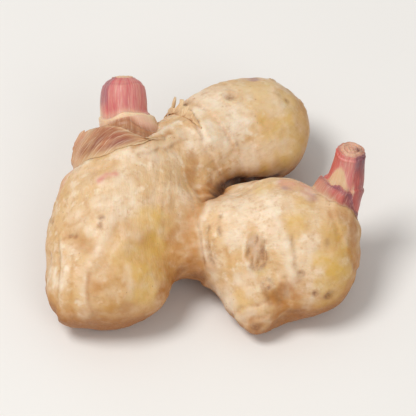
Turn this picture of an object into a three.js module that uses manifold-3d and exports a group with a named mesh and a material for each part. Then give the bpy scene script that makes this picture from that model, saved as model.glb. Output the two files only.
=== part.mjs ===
// Young ginger rhizome with two cut shoots, lying on a flat surface.
// Millimetres, +Z up. The origin is on the resting plane, under the middle of the root's outline.
// The front of the root, where its buds point, is at -Y.
import * as THREE from "three";
import { mergeVertices } from "three/addons/utils/BufferGeometryUtils.js";
import Module from "manifold-3d";

const wasm = await Module();
wasm.setup();

// ---------------------------------------------------------------- driving dimensions
const CELL = 2.4; // size of the rhizome's facets
const MOST_SETTLING = 0.18; // how far settling may move a facet's corner, as a share of the cell
const BLEND = 6; // how softly one finger swells into the next
const CLEFT = 4.8; // how softly the right finger meets the others, with a cleft between
const RING_ROUNDING = 2.5; // how softly the left finger's end face meets its side
const CLEARANCE = 0.3; // gap between neighbouring pieces

// Each finger of the rhizome is a chain of balls, [x, y, z, radius], that swell into each other.
const FINGERS = {
  left: [
    [-24.5, -18.3, 13.3, 14.2],
    [-25, -5.7, 16.4, 16.8],
    [-23.5, 5, 18.5, 16],
    [-22.8, 11, 20.8, 15.4],
    [-22.5, 17, 24, 14.8],
  ],
  leftCap: [
    [-30.4, -20.6, 12.4, 13],
    [-28.4, -13, 14, 14.2],
  ],
  upper: [
    [-16, 6.5, 18, 12.5],
    [-3, 19.3, 17.6, 13.2],
    [13, 30.7, 14.2, 14.8],
  ],
  shoulder: [
    [-18, -3.5, 17, 13.5],
    [-7.5, -7.8, 15.6, 11.4],
  ],
  right: [
    [9, -7.8, 15.8, 14.2],
    [21, -9, 16, 15.7],
    [26, -11.3, 15.6, 13.4],
    [29.7, -8.7, 19, 10.8],
  ],
  bulge: [
    [26, -12.3, 13, 12.5],
    [26.8, -17.4, 12, 11.9],
  ],
  bud: [
    [11.4, -12.8, 12, 11.6],
    [11.6, -21.3, 8.7, 8.4],
    [12.8, -28, 6.9, 4.7],
    [13.4, -31.4, 6.2, 2.2],
  ],
  saddle: [
    [17, -13.7, 10, 10.2],
    [17.5, -21.2, 8.8, 8.7],
  ],
};

// The left finger ends at the back in this plane, where its shoot comes out.
const REAR_RING = { centre: [-22.5, 14.8, 22.8], normal: [-0.33, 0.81, 0.48] };

// The shoots are rounds along a spine, [x, y, z, radius], from inside the rhizome to the cut top.
const REAR_SHOOT = [
  [-21.4, 11.6, 20.9, 12.8],
  [-22.5, 14.8, 22.8, 14],
  [-22.7, 17.1, 24.2, 13.4],
  [-22.1, 19.5, 25.6, 10.9],
  [-22.1, 21.3, 26.8, 8.5],
  [-22.4, 22.8, 27.7, 6.9],
  [-22.7, 24.4, 28.9, 6.1],
  [-22.8, 27.2, 31.2, 6],
  [-22.8, 30.6, 34, 5.4],
  [-22.8, 31.7, 34.9, 4],
];
const REAR_COLLAR = { thickness: 0.9, top: [-23.2, 16.6, 23.9], normal: [-0.26, 0.82, 0.5] };

const RIGHT_SHOOT = [
  [31.5, -6, 18, 6.8],
  [33.3, -3.9, 22.5, 6.8],
  [35.1, -2, 26, 6],
  [36.7, -0.3, 29, 5],
  [37.6, 1.5, 33.5, 4.3],
  [38.3, 2.9, 38.6, 4],
];
const RIGHT_SHEATH = { thickness: 0.9, top: [35.6, -2, 28.6], normal: [0.4, 0.22, 0.88] };

// A dry scale lies round the back of the upper finger's neck, in a band across it.
const NECK_SCALE = { thickness: 1, centre: [-6, 30.9, 25.5], along: [0.75, 0.66, 0], size: [4.5, 13, 13] };

// ---------------------------------------------------------------- the rhizome's surface as a field
// Distance from p to the tapering tube between two balls, negative inside.
function tubeDistance(p, [ax, ay, az, ar], [bx, by, bz, br]) {
  const dx = bx - ax;
  const dy = by - ay;
  const dz = bz - az;
  const along = ((p.x - ax) * dx + (p.y - ay) * dy + (p.z - az) * dz) / (dx * dx + dy * dy + dz * dz);
  const t = THREE.MathUtils.clamp(along, 0, 1);
  return Math.hypot(p.x - ax - t * dx, p.y - ay - t * dy, p.z - az - t * dz) - ar - t * (br - ar);
}

// The smaller of two distances, rounded off where they meet.
function blended(a, b, softness) {
  const h = Math.max(softness - Math.abs(a - b), 0) / softness;
  return Math.min(a, b) - (h * h * softness) / 4;
}

// A finger's balls with more of them between, on a smooth curve.
function smoothChain(balls, perStep = 4) {
  const centres = new THREE.CatmullRomCurve3(balls.map(([x, y, z]) => new THREE.Vector3(x, y, z)));
  const radii = new THREE.SplineCurve(balls.map(([, , , r], i) => new THREE.Vector2(i, r)));
  const steps = (balls.length - 1) * perStep;
  return Array.from({ length: steps + 1 }, (_, i) => {
    const centre = centres.getPoint(i / steps);
    return [centre.x, centre.y, centre.z, radii.getPoint(i / steps).y];
  });
}

const chains = Object.fromEntries(
  Object.entries(FINGERS).map(([name, balls]) => [name, smoothChain(balls)]),
);
const ringCentre = new THREE.Vector3(...REAR_RING.centre);
const ringNormal = new THREE.Vector3(...REAR_RING.normal).normalize();

function rhizomeField(p) {
  let distance = Infinity;
  for (const [name, chain] of Object.entries(chains)) {
    let nearest = Infinity;
    for (let i = 1; i < chain.length; i++) {
      nearest = Math.min(nearest, tubeDistance(p, chain[i - 1], chain[i]));
    }
    if (name === "left") {
      const beyondRing = ringNormal.dot(p) - ringNormal.dot(ringCentre);
      nearest = -blended(-nearest, -beyondRing, RING_ROUNDING);
    }
    const softness = name === "right" ? CLEFT : BLEND;
    distance = distance === Infinity ? nearest : blended(distance, nearest, softness);
  }
  return distance;
}

// ---------------------------------------------------------------- from field to mesh
// Closed mesh of the surface where field is zero inside box, by surface nets: each cell that the
// surface crosses gets one vertex, and each grid edge that it crosses gets one quad.
function surfaceNet(field, box, cell) {
  const count = box.getSize(new THREE.Vector3()).divideScalar(cell).ceil().addScalar(1);
  const [nx, ny, nz] = [count.x, count.y, count.z];
  const index = (i, j, k) => (k * ny + j) * nx + i;
  const place = (i, j, k) => new THREE.Vector3(i, j, k).multiplyScalar(cell).add(box.min);
  const value = new Float64Array(nx * ny * nz);
  for (let k = 0; k < nz; k++)
    for (let j = 0; j < ny; j++)
      for (let i = 0; i < nx; i++) value[index(i, j, k)] = field(place(i, j, k));

  const corners = [0, 1, 2, 3, 4, 5, 6, 7].map((c) => [c & 1, (c >> 1) & 1, c >> 2]);
  const edges = [];
  for (let a = 0; a < 8; a++) for (const bit of [1, 2, 4]) if (!(a & bit)) edges.push([a, a | bit]);
  const positions = [];
  const vertexOf = new Map();
  for (let k = 0; k < nz - 1; k++)
    for (let j = 0; j < ny - 1; j++)
      for (let i = 0; i < nx - 1; i++) {
        const at = corners.map(([a, b, c]) => value[index(i + a, j + b, k + c)]);
        const sum = new THREE.Vector3();
        let crossings = 0;
        for (const [a, b] of edges) {
          if (at[a] < 0 === at[b] < 0) continue;
          const from = place(i + corners[a][0], j + corners[a][1], k + corners[a][2]);
          const to = place(i + corners[b][0], j + corners[b][1], k + corners[b][2]);
          sum.add(from.lerp(to, at[a] / (at[a] - at[b])));
          crossings++;
        }
        if (!crossings) continue;
        vertexOf.set(index(i, j, k), positions.length / 3);
        positions.push(...sum.divideScalar(crossings).toArray());
      }

  const triangles = [];
  const steps = [
    [1, 0, 0],
    [0, 1, 0],
    [0, 0, 1],
  ];
  for (let k = 1; k < nz - 1; k++)
    for (let j = 1; j < ny - 1; j++)
      for (let i = 1; i < nx - 1; i++)
        steps.forEach((step, axis) => {
          const inside = value[index(i, j, k)] < 0;
          if (inside === value[index(i + step[0], j + step[1], k + step[2])] < 0) return;
          const [u, v] = [steps[(axis + 1) % 3], steps[(axis + 2) % 3]];
          const cellAt = (a, b) =>
            vertexOf.get(index(i - a * u[0] - b * v[0], j - a * u[1] - b * v[1], k - a * u[2] - b * v[2]));
          const quad = [cellAt(1, 1), cellAt(0, 1), cellAt(0, 0), cellAt(1, 0)];
          if (!inside) quad.reverse();
          triangles.push(quad[0], quad[1], quad[2], quad[0], quad[2], quad[3]);
        });
  return new THREE.BufferGeometry()
    .setAttribute("position", new THREE.Float32BufferAttribute(positions, 3))
    .setIndex(triangles);
}

function gradient(field, p, h = 0.05) {
  const d = (x, y, z) => field(new THREE.Vector3(p.x + x, p.y + y, p.z + z));
  return new THREE.Vector3(
    d(h, 0, 0) - d(-h, 0, 0),
    d(0, h, 0) - d(0, -h, 0),
    d(0, 0, h) - d(0, 0, -h),
  ).divideScalar(2 * h);
}

// Moves each vertex a little, onto the field's surface, and none below the resting plane.
function settle(geometry, field) {
  const position = geometry.getAttribute("position");
  const start = new THREE.Vector3();
  for (let i = 0; i < position.count; i++) {
    start.fromBufferAttribute(position, i);
    const p = start.clone();
    for (let pass = 0; pass < 3; pass++) {
      const slope = gradient(field, p);
      p.addScaledVector(slope, -field(p) / Math.max(slope.lengthSq(), 0.25));
    }
    p.sub(start).clampLength(0, MOST_SETTLING * CELL).add(start);
    position.setXYZ(i, p.x, p.y, Math.max(p.z, 0));
  }
  return geometry;
}

function rhizomeGeometry(grow = 0) {
  const box = new THREE.Box3();
  for (const [x, y, z, r] of Object.values(chains).flat()) {
    box.expandByPoint(new THREE.Vector3(x - r, y - r, z - r));
    box.expandByPoint(new THREE.Vector3(x + r, y + r, z + r));
  }
  box.expandByScalar(2 * CELL + grow);
  const field = (p) => rhizomeField(p) - grow;
  return settle(surfaceNet(field, box, CELL), field);
}

// Closed round body along a spine of [x, y, z, radius], with flat ends.
function loft(spine, grow = 0, around = 24, perStep = 2) {
  const rounds = smoothChain(spine, perStep).map(([x, y, z, r]) => [x, y, z, r + grow]);
  const centres = rounds.map(([x, y, z]) => new THREE.Vector3(x, y, z));
  const side = new THREE.Vector3(1, 0, 0);
  const positions = [...centres[0].toArray()];
  centres.forEach((centre, i) => {
    const ahead = centres[Math.min(i + 1, centres.length - 1)];
    const behind = centres[Math.max(i - 1, 0)];
    const along = ahead.clone().sub(behind).normalize();
    const across = along.clone().cross(side).normalize();
    const over = across.clone().cross(along);
    for (let k = 0; k < around; k++) {
      const angle = (2 * Math.PI * k) / around;
      const p = centre
        .clone()
        .addScaledVector(over, rounds[i][3] * Math.cos(angle))
        .addScaledVector(across, rounds[i][3] * Math.sin(angle));
      positions.push(...p.toArray());
    }
  });
  positions.push(...centres.at(-1).toArray());
  const at = (i, k) => 1 + i * around + (k % around);
  const last = centres.length - 1;
  const triangles = [];
  for (let k = 0; k < around; k++) {
    triangles.push(0, at(0, k + 1), at(0, k));
    triangles.push(at(last, k), at(last, k + 1), positions.length / 3 - 1);
    for (let i = 0; i < last; i++) {
      triangles.push(at(i, k), at(i + 1, k + 1), at(i + 1, k));
      triangles.push(at(i, k), at(i, k + 1), at(i + 1, k + 1));
    }
  }
  return new THREE.BufferGeometry()
    .setAttribute("position", new THREE.Float32BufferAttribute(positions, 3))
    .setIndex(triangles);
}

// ---------------------------------------------------------------- cutting one piece by another
function solid(geometry) {
  const bare = new THREE.BufferGeometry()
    .setAttribute("position", geometry.getAttribute("position"))
    .setIndex(geometry.getIndex());
  const merged = mergeVertices(bare, 1e-3);
  const vertProperties = merged.attributes.position.array;
  const triVerts = new Uint32Array(merged.index.array);
  return new wasm.Manifold(new wasm.Mesh({ numProp: 3, vertProperties, triVerts }));
}

function geometryOf(manifold) {
  const mesh = manifold.getMesh();
  return new THREE.BufferGeometry()
    .setAttribute("position", new THREE.BufferAttribute(mesh.vertProperties, 3))
    .setIndex(new THREE.BufferAttribute(mesh.triVerts, 1));
}

// A box that fills everything on the near side of the plane through point, for cutting with.
function below(point, normal, wide = 60) {
  const box = new THREE.BoxGeometry(wide, wide, wide).translate(0, 0, -wide / 2);
  const up = new THREE.Vector3(0, 0, 1);
  const turn = new THREE.Quaternion().setFromUnitVectors(up, new THREE.Vector3(...normal).normalize());
  return box.applyQuaternion(turn).translate(...point);
}

// ---------------------------------------------------------------- the object
const group = new THREE.Group();

function addPiece(name, geometry, material) {
  const mesh = new THREE.Mesh(geometry, material);
  mesh.name = name;
  group.add(mesh);
  return mesh;
}

const skin = new THREE.MeshStandardMaterial({ color: 0xe8cfa6, roughness: 0.55, metalness: 0 });
const shootSkin = new THREE.MeshStandardMaterial({ color: 0xd97a76, roughness: 0.45, metalness: 0 });
const dryScale = new THREE.MeshStandardMaterial({ color: 0xb98454, roughness: 0.7, metalness: 0 });

const body = rhizomeGeometry();
const cutter = solid(rhizomeGeometry(CLEARANCE));
addPiece("rhizome", body, skin);
addPiece("rear_shoot", geometryOf(solid(loft(REAR_SHOOT)).subtract(cutter)), shootSkin);
addPiece("right_shoot", geometryOf(solid(loft(RIGHT_SHOOT)).subtract(cutter)), shootSkin);

// A scale leaf that clasps the foot of a shoot, up to a slanting margin.
function cuff(spine, { thickness, top, normal }) {
  return solid(loft(spine, CLEARANCE + thickness))
    .intersect(solid(below(top, normal)))
    .subtract(solid(loft(spine, CLEARANCE)))
    .subtract(cutter);
}
addPiece("rear_collar_scale", geometryOf(cuff(REAR_SHOOT, REAR_COLLAR)), dryScale);
addPiece("right_shoot_sheath", geometryOf(cuff(RIGHT_SHOOT, RIGHT_SHEATH)), dryScale);

function neckScale({ thickness, centre, along, size }) {
  const turn = new THREE.Quaternion().setFromUnitVectors(
    new THREE.Vector3(1, 0, 0),
    new THREE.Vector3(...along).normalize(),
  );
  const band = new THREE.BoxGeometry(...size).applyQuaternion(turn).translate(...centre);
  return solid(rhizomeGeometry(CLEARANCE + thickness)).intersect(solid(band)).subtract(cutter);
}
addPiece("neck_scale", geometryOf(neckScale(NECK_SCALE)), dryScale);

const extent = new THREE.Box3().setFromObject(group);
const middle = extent.getCenter(new THREE.Vector3());
group.position.set(-middle.x, -middle.y, 0);

export default group;
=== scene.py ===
"""A young ginger rhizome with cut pink shoots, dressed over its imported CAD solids.

Sizes below are in millimetres, in the frame of the CAD model, until a mesh is written in metres.
The front of the root is at -Y, and the finger with the thin shoot is at +X.
"""

import math

import bmesh
import bpy
import numpy as np
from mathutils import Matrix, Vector
from mathutils.bvhtree import BVHTree


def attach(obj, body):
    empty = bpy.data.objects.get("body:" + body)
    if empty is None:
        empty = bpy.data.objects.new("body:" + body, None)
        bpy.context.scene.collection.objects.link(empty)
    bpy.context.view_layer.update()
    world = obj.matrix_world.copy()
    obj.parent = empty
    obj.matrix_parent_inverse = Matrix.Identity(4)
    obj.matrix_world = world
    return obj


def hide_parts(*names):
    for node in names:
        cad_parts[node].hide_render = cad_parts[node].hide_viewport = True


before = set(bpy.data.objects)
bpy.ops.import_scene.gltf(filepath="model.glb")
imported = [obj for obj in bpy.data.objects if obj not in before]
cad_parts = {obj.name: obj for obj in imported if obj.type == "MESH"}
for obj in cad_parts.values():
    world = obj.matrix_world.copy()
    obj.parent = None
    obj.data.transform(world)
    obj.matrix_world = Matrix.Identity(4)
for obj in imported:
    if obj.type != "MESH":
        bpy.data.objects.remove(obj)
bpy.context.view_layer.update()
MM = 0.001
MIDDLE = np.array([0.5972, -5.5927, 0.0])  # from the root's modelling origin to the frame's origin


# ---- small maths
def unit(v):
    v = np.asarray(v, float)
    return v / np.linalg.norm(v)


def ramp(x, low, high):
    """0 at low, 1 at high, with a smooth rise between them."""
    t = np.clip((x - low) / (high - low), 0, 1)
    return t * t * (3 - 2 * t)


def bump(x, width):
    return np.exp(-((x / width) ** 2))


def plateau(x, low, full, fading, high):
    """1 from full to fading, and 0 outside low to high."""
    return np.minimum(ramp(x, low, full), 1 - ramp(x, fading, high))


def distance(p, place):
    return np.linalg.norm(p - place, axis=1)


def lattice(i, j, k, seed):
    n = (i * 374761393 + j * 668265263 + k * 1440662683 + seed * 1274126177) & 0xFFFFFFFF
    n = ((n ^ (n >> 13)) * 1274126177) & 0xFFFFFFFF
    n = ((n ^ (n >> 15)) * 2246822519) & 0xFFFFFFFF
    return ((n ^ (n >> 16)) & 0xFFFFFF) / float(0xFFFFFF) * 2 - 1


def noise(p, size, seed):
    """Smooth random values from -1 to 1 at points p, with features about size across."""
    q = p / size
    cell = np.floor(q)
    t = q - cell
    t = t * t * t * (t * (t * 6 - 15) + 10)
    i, j, k = cell.astype(np.int64).T
    total = np.zeros(len(p))
    share = ((1 - t).T, t.T)
    for a, b, c in np.ndindex(2, 2, 2):
        weight = share[a][0] * share[b][1] * share[c][2]
        total += weight * lattice(i + a, j + b, k + c, seed)
    return total


# ---- meshes
def vectors(items, field):
    flat = np.zeros(len(items) * 3)
    items.foreach_get(field, flat)
    return flat.reshape(-1, 3)


def mesh_points(mesh):
    return vectors(mesh.vertices, "co") / MM


def set_points(mesh, points):
    mesh.vertices.foreach_set("co", (points * MM).astype(np.float32).ravel())
    mesh.update()


def add_masks(mesh, masks):
    """A value from 0 to 1 for each vertex, and under "grain" its place in the grain."""
    for name, values in masks.items():
        if name == "grain":
            kind, field = "FLOAT_VECTOR", "vector"
        else:
            kind, field, values = "FLOAT", "value", np.clip(values, 0, 1)
        attribute = mesh.attributes.new(name, kind, "POINT")
        attribute.data.foreach_set(field, values.astype(np.float32).ravel())


def placed(name, data):
    thing = bpy.data.objects.new(name, data)
    bpy.context.scene.collection.objects.link(thing)
    return thing


def weld(mesh, reach):
    """Joins vertices closer than reach metres, drops flattened faces and turns the others out."""
    work = bmesh.new()
    work.from_mesh(mesh)
    bmesh.ops.remove_doubles(work, verts=work.verts, dist=reach)
    bmesh.ops.dissolve_degenerate(work, edges=work.edges, dist=reach)
    bmesh.ops.recalc_face_normals(work, faces=work.faces)
    work.to_mesh(mesh)
    work.free()


def relaxed(mesh, points, passes):
    """points, each moved half way to the average of its neighbours in every pass."""
    edges = np.zeros(len(mesh.edges) * 2, np.int64)
    mesh.edges.foreach_get("vertices", edges)
    a, b = edges.reshape(-1, 2).T
    count = np.bincount(np.concatenate([a, b]), minlength=len(points))[:, None]
    for _ in range(passes):
        total = np.zeros_like(points)
        for axis, values in enumerate(points.T):
            total[:, axis] = np.bincount(a, values[b], len(points)) + np.bincount(b, values[a], len(points))
        points = points + 0.5 * (total / count - points)
    return points


def fine_copy(name, node, voxel, passes):
    """A copy of a CAD node's mesh with even faces, voxel millimetres across, and no facets."""
    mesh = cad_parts[node].data.copy()
    weld(mesh, 1e-6)
    rough = placed("rough", mesh)
    remesh = rough.modifiers.new("even", "REMESH")
    remesh.mode = "VOXEL"
    remesh.voxel_size = voxel * MM
    graph = bpy.context.evaluated_depsgraph_get()
    fine = bpy.data.meshes.new_from_object(rough.evaluated_get(graph))
    bpy.data.objects.remove(rough)
    fine.name = name
    set_points(fine, relaxed(fine, mesh_points(fine), passes))
    return fine


def add_piece(mesh, node, material):
    """Shows a mesh in place of a CAD node."""
    mesh.shade_smooth()
    mesh.materials.clear()
    mesh.materials.append(material)
    piece = placed(mesh.name, mesh)
    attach(piece, "root")
    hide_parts(node)


def spline(values, samples):
    """Catmull-Rom curve through values, at samples even steps."""
    values = np.asarray(values, float)
    padded = np.vstack([2 * values[0] - values[1], values, 2 * values[-1] - values[-2]])
    x = np.linspace(0, len(values) - 1, samples)
    i = np.minimum(x.astype(int), len(values) - 2)
    t = (x - i)[:, None]
    a, b, c, d = (padded[i + k] for k in range(4))
    curve = 2 * b + (c - a) * t + (2 * a - 5 * b + 4 * c - d) * t**2
    return (curve + (3 * b - 3 * c + d - a) * t**3) / 2


class Stalk:
    """A round shape along a spine of (x, y, z, radius) in the root's modelling frame.

    Angle 0 faces +X, 90 degrees the back, 180 degrees -X and 270 degrees the front and top.
    """

    def __init__(self, spine):
        rounds = spline(spine, 160)
        self.centre = rounds[:, :3] + MIDDLE
        self.radius = rounds[:, 3]
        step = np.linalg.norm(np.diff(self.centre, axis=0), axis=1)
        self.length = np.concatenate([[0], np.cumsum(step)])
        self.end = self.length[-1]
        tangent = np.gradient(self.centre, axis=0)
        self.tangent = tangent / np.linalg.norm(tangent, axis=1)[:, None]
        back = np.cross(self.tangent, [1.0, 0, 0])
        self.back = back / np.linalg.norm(back, axis=1)[:, None]
        self.side = np.cross(self.back, self.tangent)

    def at(self, along, angle, lift=0.0, share=1.0):
        """Points on the surface lift millimetres out, or at a share of the radius."""

        def blend(values):
            return np.stack([np.interp(along, self.length, v) for v in values.T], -1)

        out = np.cos(angle)[..., None] * blend(self.side)
        out = out + np.sin(angle)[..., None] * blend(self.back)
        past = np.maximum(along - self.end, 0)[..., None] * self.tangent[-1]
        radius = np.interp(along, self.length, self.radius)
        return blend(self.centre) + past + out * (radius * share + lift)[..., None]


def closed_mesh(name, grid, masks):
    """A closed mesh over points [rows, columns, 3], joined across the columns and where points meet."""
    rows, columns = grid.shape[:2]
    index = np.arange(rows * columns).reshape(rows, columns)
    right = np.roll(index, -1, 1)
    faces = np.stack([index[:-1], right[:-1], right[1:], index[1:]], -1).reshape(-1, 4)
    mesh = bpy.data.meshes.new(name)
    mesh.from_pydata((grid.reshape(-1, 3) * MM).tolist(), [], faces.tolist())
    add_masks(mesh, masks)
    weld(mesh, 1e-7)
    return mesh


def sheet_mesh(name, outer, inner, masks):
    """A closed thin sheet: outer and inner are points [up, across, 3], and meet at both ends across."""
    rows = np.concatenate([outer, inner[::-1]]).transpose(1, 0, 2)
    doubled = {kind: np.swapaxes(np.concatenate([v, v[::-1]]), 0, 1) for kind, v in masks.items()}
    return closed_mesh(name, rows, doubled)


def drum(radius, angle, along):
    """Points round the Z axis, in which noise meets itself at the end of a turn."""
    return np.stack([radius * np.cos(angle), radius * np.sin(angle), along + 0 * angle], -1)


def round_noise(angle, along, size, seed):
    """Noise over a stalk's surface, with along already scaled to draw it out."""
    p = drum(6, angle, along)
    return noise(p.reshape(-1, 3), size, seed).reshape(p.shape[:-1])


def away_from(angle, degrees):
    """How many degrees round a stalk an angle in radians lies from one in degrees."""
    return np.abs((np.degrees(angle) - degrees + 180) % 360 - 180)


def near_angle(angle, degrees, width):
    """1 at an angle round a stalk, falling to 0 by width degrees away."""
    return 1 - ramp(away_from(angle, degrees), width * 0.35, width)


# ---- shader nodes
def linear(shown):
    """A display colour, 0 to 255, as the linear colour that a shader takes."""
    shares = [c / 255 for c in shown]
    return (*[c / 12.92 if c <= 0.04045 else ((c + 0.055) / 1.055) ** 2.4 for c in shares], 1.0)


class Shader:
    """A Principled material and short ways to add procedural nodes to it."""

    def __init__(self, name, roughness=0.5, subsurface=0.0, reach=0.002):
        self.material = bpy.data.materials.new(name)
        self.material.use_nodes = True
        self.nodes = self.material.node_tree.nodes
        self.links = self.material.node_tree.links
        self.fill(self.nodes["Principled BSDF"], {
            "Roughness": roughness,
            "Subsurface Weight": subsurface,
            "Subsurface Radius": (1, 0.45, 0.22),
            "Subsurface Scale": reach,
        })
        self.place = self.nodes.new("ShaderNodeTexCoord").outputs["Object"]

    def fill(self, node, inputs):
        """Sets a node's inputs to values, or links them to other nodes' outputs."""
        for name, value in inputs.items():
            if isinstance(value, bpy.types.NodeSocket):
                self.links.new(value, node.inputs[name])
            else:
                node.inputs[name].default_value = value

    def node(self, kind, inputs, **settings):
        """The outputs of a new node with these settings and inputs."""
        node = self.nodes.new("ShaderNode" + kind)
        for name, value in settings.items():
            setattr(node, name, value)
        self.fill(node, inputs)
        return node.outputs

    def attribute(self, name, kind="Fac"):
        return self.node("Attribute", {}, attribute_name=name)[kind]

    def noise(self, size, detail=2.0, vector=None, roughness=0.5, seed=0):
        """size is in millimetres over object space, or in the vector's own units."""
        inputs = {"W": seed, "Vector": vector, "Scale": 1 / size, "Detail": detail, "Roughness": roughness}
        if vector is None:
            inputs.update({"Vector": self.place, "Scale": 1000 / size})
        return self.node("TexNoise", inputs, noise_dimensions="4D")["Fac"]

    def cells(self, size):
        """How far a place lies from its cell's middle, in cells size millimetres across."""
        return self.node("TexVoronoi", {"Vector": self.place, "Scale": 1000 / size})["Distance"]

    def openness(self, reach):
        """1 in the open, lower in a hollow of the piece itself, reach millimetres across."""
        inputs = {"Distance": reach * MM}
        return self.node("AmbientOcclusion", inputs, samples=12, only_local=True)["AO"]

    def times(self, a, b):
        return self.node("Math", {0: a, 1: b}, operation="MULTIPLY")[0]

    def spread(self, value, low, high, to_low=0.0, to_high=1.0):
        """value from low to high, turned smoothly into to_low to to_high."""
        inputs = {"Value": value, "From Min": low, "From Max": high, "To Min": to_low, "To Max": to_high}
        return self.node("MapRange", inputs, interpolation_type="SMOOTHSTEP")["Result"]

    def mix(self, amount, a, b, how="MIX"):
        """a turned into b by an amount; either can be a display colour."""
        a, b = (linear(x) if isinstance(x, tuple) else x for x in (a, b))
        return self.node("Mix", {"Factor": amount, 6: a, 7: b}, data_type="RGBA", blend_type=how)[2]

    def relief(self, height, depth, strength, under=None):
        """Bump of depth millimetres, over the relief under it."""
        inputs = {"Strength": strength, "Distance": depth * MM, "Height": height}
        if under is not None:
            inputs["Normal"] = under
        return self.node("Bump", inputs)["Normal"]

    def finish(self, base, **others):
        """The material, with its base colour and any other inputs."""
        self.fill(self.nodes["Principled BSDF"], {"Base Color": base, **others})
        return self.material


# ---- the rhizome's skin
def skin_material():
    s = Shader("ginger_skin", subsurface=0.25)
    grain = s.attribute("grain", "Vector")
    streaks = s.noise(0.9, 3, grain)
    fine_streaks = s.noise(0.3, 2, grain, seed=3)
    base = s.mix(s.spread(s.noise(10, 2), 0.36, 0.62), (237, 211, 179), (223, 182, 128))
    mottle = s.noise(1.7, 4, roughness=0.6, seed=9)
    for amount, tone in (
        (s.spread(s.noise(4.5, 3, seed=5), 0.48, 0.7, 0, 0.6), (212, 170, 120)),
        (s.spread(mottle, 0.47, 0.7, 0, 0.7), (202, 154, 102)),
        (s.spread(s.noise(2.4, 4, seed=7), 0.52, 0.68, 0, 0.6), (245, 226, 198)),
        (s.spread(streaks, 0.5, 0.74, 0, 0.4), (206, 162, 112)),
        (s.spread(fine_streaks, 0.54, 0.8, 0, 0.3), (247, 231, 204)),
    ):
        base = s.mix(amount, base, tone)
    # Mask colours: painted_shade is painted shade, and tan_and_shade is painted shade with some real tan at
    # rings and creases; part of pale and yellow is painted light and shade on sides turned from the lamps;
    # pink, lilac and the rest are the skin's own tints.
    for name, least, tone in (
        ("tan_and_shade", 0.55, (198, 140, 60)),
        ("pale", 0.55, (248, 232, 208)),
        ("yellow", 0.6, (219, 175, 86)),
        ("painted_shade", 0.72, (182, 114, 38)),
        ("pink", 0.55, (216, 132, 126)),
        ("lilac", 0.55, (160, 116, 132)),
    ):
        broken = s.spread(s.noise(2.2, 4, seed=13), 0.3, 0.68, least, 1)
        base = s.mix(s.times(s.attribute(name), broken), base, tone)
    # painted shade: the skin turns tan in its own hollows, by ambient occlusion
    base = s.mix(s.spread(s.openness(5), 0.75, 0.3, 0, 0.75), base, (172, 109, 46))
    line = s.times(s.attribute("ring"), s.spread(s.noise(1.3, 4, seed=17), 0.3, 0.62, 0.2, 1))
    base = s.mix(line, base, (166, 110, 62))
    # brown: stains and scars, with painted shade on the underside, in the crack and in some low patches
    stain = s.spread(s.noise(0.8, 4, roughness=0.65, seed=19), 0.3, 0.62, 0.45, 1)
    base = s.mix(s.times(s.attribute("brown"), stain), base, (136, 84, 48))
    # painted shadow: near black deep in the crack between the fingers
    base = s.mix(s.attribute("painted_shadow"), base, (66, 36, 20))
    specks = s.spread(s.cells(1.9), 0.05, 0.13, 1, 0)
    specks = s.times(specks, s.spread(s.noise(6, seed=23), 0.5, 0.62))
    base = s.mix(s.times(specks, 0.55), base, (150, 98, 58))
    relief = s.relief(s.noise(0.5, 3, grain), 0.2, 0.6)
    relief = s.relief(s.noise(0.5, 4, roughness=0.6), 0.12, 0.5, relief)
    rough = s.spread(s.noise(1.2, 3), 0.3, 0.7, 0.4, 0.6)
    return s.finish(base, Normal=relief, Roughness=rough)


# Growth lines of each finger: start, end and direction of its grain, in the root's modelling frame.
GROWTH = [
    ((-25, -15, 15), (-22.5, 14, 23), (0.06, 0.95, 0.28)),
    ((-32, -20, 12), (-42, -20, 12), (-1, 0, 0)),
    ((-6, 15, 17.5), (14, 31, 14.5), (0.75, 0.65, 0)),
    ((0, -8, 16), (30, -9, 17), (0.97, 0.2, 0.05)),
    ((11, -20, 9), (13, -33, 6.5), (0.12, -0.97, -0.2)),
]

# Node rings, where planes cross the skin: point, normal, reach, lift, how brown.
RINGS = [
    ((-2.2, -14, 16), (0.97, 0.24, 0), 15, 0.34, 0.5),
    ((0.6, -14, 16), (0.97, 0.18, 0.05), 15, 0.16, 0.25),
    ((38.6, -15, 18), (0.93, 0.1, 0.35), 16, 0.3, 0.35),
    ((2.3, 16.3, 17), (0.75, 0.66, 0), 17, 0.3, 0.45),
    ((-3.5, 11.5, 17.5), (0.7, 0.7, 0.1), 15, 0.22, 0.4),
    ((10.5, 22.5, 15.5), (0.76, 0.65, -0.05), 18, 0.14, 0.12),
    ((23.5, 33, 14), (0.78, 0.6, -0.1), 11, 0.25, 0.4),
    ((-25, -3.6, 16), (-0.12, 0.97, 0.2), 20, 0.2, 0.2),
    ((-22, 5.5, 22), (-0.33, 0.81, 0.48), 20, 0.28, 0.3),
    ((-38.4, -27, 13), (1, 0.05, 0), 14, 0.36, 0.35),
    ((-41.4, -26, 13), (1, 0.05, 0), 8, 0.3, 0.5),
    ((13.2, -37.3, 8.8), (0.12, -0.96, -0.25), 5, 0.3, 0.6),
    ((12.9, -34.8, 9.4), (0.12, -0.96, -0.25), 8, 0.28, 0.5),
    ((12.4, -30.8, 10.4), (0.12, -0.96, -0.25), 10, 0.2, 0.25),
]

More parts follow.
